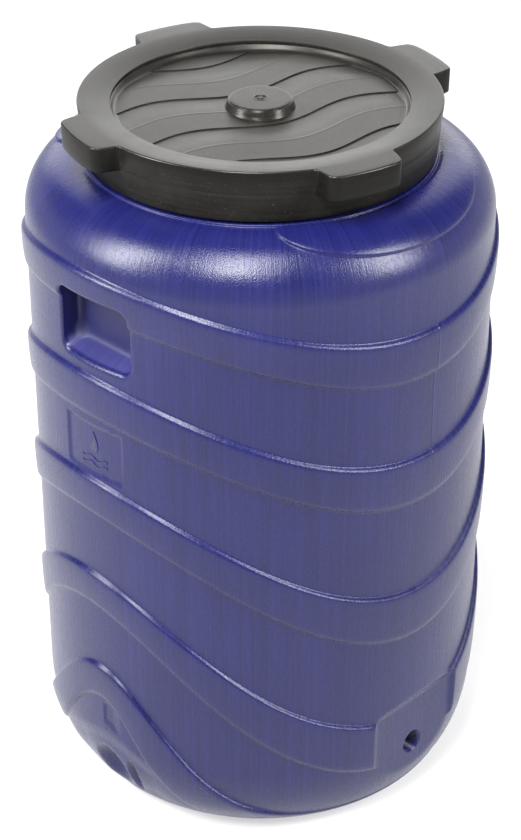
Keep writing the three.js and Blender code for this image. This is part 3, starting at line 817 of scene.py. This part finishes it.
def black_plastic(name, dark, light, rough_low, side_below, polish=()):
    """Near-black moulded plastic with turning lines, flow marks and dusty specks.

    side_below is the height band under which a face counts as a side, with less gloss. polish lists the shinier bands
    as inner radius, outer radius and roughness.
    """
    m = Nodes(name)
    _, _, z, angle, radius = m.cylinder()
    unrolled = m.add("ShaderNodeCombineXYZ")
    m.link(m.math("MULTIPLY", angle, 0.18), unrolled.inputs[0])
    m.link(z, unrolled.inputs[1])
    m.link(radius, unrolled.inputs[2])
    flow = m.noise(260, 3, 0.6, (0.03, 1, 1), unrolled.outputs[0])
    cloud = m.noise(22, 4, 0.6)
    speck = m.noise(650, 1, 0.5)
    grain = m.noise(1100, 2, 0.6)
    tone = m.math("MULTIPLY_ADD", flow, 0.5, m.math("MULTIPLY", cloud, 0.5))
    colour = m.ramp(tone, [(0.38, dark), (0.62, light)])
    dust = m.math("MULTIPLY", m.band(speck, 0.70, 0.78), 0.35)
    colour = m.mix(dust, colour, (0.22, 0.21, 0.185))
    rough = m.math("MULTIPLY_ADD", cloud, 0.20, m.math("MULTIPLY_ADD", flow, 0.16, rough_low - 0.05))
    soft = 0.0004
    for low, high, gloss in polish:
        beyond = m.math("SUBTRACT", 1.0, m.band(radius, high - soft, high))
        inside = m.math("MULTIPLY", m.band(radius, low, low + soft), beyond)
        rough = m.math("MULTIPLY_ADD", inside, gloss - rough_low, rough)
    height = m.math("MULTIPLY_ADD", flow, 0.6, m.math("MULTIPLY", grain, 0.5))
    normal = m.bump(height, 0.00012)
    rim = m.band(radius, 0.1832, 0.1842)
    outside = m.math("MULTIPLY", rim, m.math("SUBTRACT", 1.0, m.band(z, 0.7778, 0.7790)))
    side = m.math("MAXIMUM", outside, m.math("SUBTRACT", 1.0, m.band(z, *side_below)))
    # painted shade: side faces and the outer faces of the skirt and lugs get less specular, standing in for the shade
    # they are in
    m.shader.inputs["Specular IOR Level"].default_value = 0.32
    m.link(m.math("MULTIPLY_ADD", side, -0.19, 0.32), m.shader.inputs["Specular IOR Level"])
    edge = m.math("MULTIPLY", rim, m.math("SUBTRACT", 1.0, m.band(z, 0.7797, 0.77995)))
    edge = m.math("MULTIPLY", edge, m.band(z, 0.7774, 0.7780))
    rough = m.math("MULTIPLY_ADD", edge, -0.12, rough)
    # painted shade: the outer faces of the skirt and lugs are mixed towards near-black
    colour = m.mix(m.math("MULTIPLY", outside, 0.7), colour, (0.004, 0.004, 0.0035))
    m.shader.inputs["Specular Tint"].default_value = (1.0, 0.965, 0.91, 1)
    return m.finish(colour, rough, normal)


def rubber():
    m = Nodes("soft_black_rubber")
    grain = m.noise(1500, 2, 0.6)
    colour = m.ramp(m.noise(60, 3, 0.6), [(0.35, (0.010, 0.010, 0.010)), (0.65, (0.022, 0.022, 0.021))])
    rough = m.math("MULTIPLY_ADD", grain, 0.15, 0.72)
    return m.finish(colour, rough, m.bump(grain, 0.0001))


# ---------- studio ----------
def make_camera():
    """The camera stands in front of the corner between the tap pad and the -X grip, above the lid."""
    data = bpy.data.cameras.new("camera")
    data.sensor_fit, data.sensor_width = "HORIZONTAL", 36.0
    data.lens = 36.0 * CAMERA_FOCAL
    camera = bpy.data.objects.new("camera", data)
    heading, down = math.radians(CAMERA_HEADING), CAMERA_DOWN
    camera.location = (-CAMERA_AWAY * math.cos(heading), -CAMERA_AWAY * math.sin(heading), CAMERA_Z)
    look = Vector((math.cos(heading) * math.cos(down), math.sin(heading) * math.cos(down), -math.sin(down)))
    camera.rotation_euler = look.to_track_quat("-Z", "Y").to_euler()
    bpy.context.scene.collection.objects.link(camera)
    bpy.context.scene.camera = camera


def make_world():
    """A pale surround that darkens overhead, as in a studio with a white sweep."""
    world = bpy.data.worlds.new("studio")
    world.use_nodes = True
    nodes, links = world.node_tree.nodes, world.node_tree.links
    place, split, ramp = (nodes.new(kind) for kind in
                          ("ShaderNodeTexCoord", "ShaderNodeSeparateXYZ", "ShaderNodeValToRGB"))
    links.new(place.outputs["Generated"], split.inputs[0])
    links.new(split.outputs["Z"], ramp.inputs[0])
    links.new(ramp.outputs[0], nodes["Background"].inputs["Color"])
    elements = ramp.color_ramp.elements
    elements.new(0.15)
    elements.new(0.32)
    for element, (position, grey) in zip(elements, ((0.0, 0.85), (0.15, 0.7), (0.32, 0.14), (1.0, 0.07))):
        element.position, element.color = position, (grey, grey, grey, 1)
    return world


def make_light(name, bearing, rise, distance, size, power, target=(0, 0, 0.7)):
    """A soft box at a bearing round the barrel and an angle above its top, both in degrees."""
    data = bpy.data.lights.new(name, "AREA")
    data.shape, data.size, data.size_y, data.energy = "RECTANGLE", size[0], size[1], power
    light = bpy.data.objects.new(name, data)
    angle, rise = math.radians(bearing), math.radians(rise)
    flat = distance * math.cos(rise)
    light.location = (flat * math.cos(angle), flat * math.sin(angle), target[2] + distance * math.sin(rise))
    light.rotation_euler = (Vector(target) - light.location).to_track_quat("-Z", "Y").to_euler()
    bpy.context.scene.collection.objects.link(light)


def make_studio():
    size = FLOOR_HALF
    floor = bpy.data.meshes.new("floor")
    floor.from_pydata([(-size, -size, 0), (size, -size, 0), (size, size, 0), (-size, size, 0)], [], [(0, 1, 2, 3)])
    piece = bpy.data.objects.new("floor", floor)
    bpy.context.scene.collection.objects.link(piece)
    m = Nodes("pale_floor")
    colour = m.ramp(m.noise(3, 2, 0.5), [(0.3, (0.42, 0.42, 0.42)), (0.7, (0.45, 0.45, 0.45))])
    floor.materials.append(m.finish(colour, 0.9, m.bump(m.noise(400, 2, 0.5), 0.00005)))
    m.shader.inputs["Emission Color"].default_value = (1, 1, 1, 1)
    m.shader.inputs["Emission Strength"].default_value = 0.56
    bpy.context.scene.world = make_world()
    bpy.context.scene.view_settings.view_transform = "Standard"
    make_light("left_box", 154, 30, 2.6, (0.7, 1.8), 96)
    make_light("front_box", 210, 56, 2.4, (0.7, 1.8), 102)
    make_light("right_box", 288, 27, 2.6, (0.6, 1.6), 68)
    make_light("back_box", 44.5, 30, 2.6, (3.2, 1.6), 30)
    make_light("back_strip", 44.5, 11, 2.5, (3.4, 0.7), 17)


# ---------- assembly ----------
def dress(piece, body, slot, material, *nodes):
    piece.data.materials.clear()
    piece.data.materials.append(material)
    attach(piece, body)
    for node in nodes:
        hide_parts(node)


make_camera()
make_studio()
blue = body_plastic()
ring_black = black_plastic("charcoal_ring_plastic", (0.0068, 0.0064, 0.0055), (0.0155, 0.0147, 0.0126), 0.24,
                           (0.7735, 0.7745))
lid_black = black_plastic("charcoal_lid_plastic", (0.0080, 0.0075, 0.0066), (0.0180, 0.0170, 0.0150), 0.25,
                          (0.7600, 0.7610), polish=((0.1442, 0.1512, 0.17), (0.0308, 0.0368, 0.15)))
dress(make_body(), "barrel", "body_plastic", blue, "barrel")
dress(make_motif(), "barrel", "body_plastic", blue)
dress(make_ring(), "screw_ring", "ring_plastic", ring_black, "screw_ring")
dress(make_panel(), "inner_lid", "lid_plastic", lid_black, "inner_lid")
dress(make_lid_rim(), "inner_lid", "lid_plastic", lid_black)
dress(make_lid_underside(), "inner_lid", "lid_plastic", lid_black)
dress(make_knob(), "inner_lid", "lid_plastic", lid_black)
dress(make_gasket(), "inner_lid", "gasket_rubber", rubber(), "gasket")
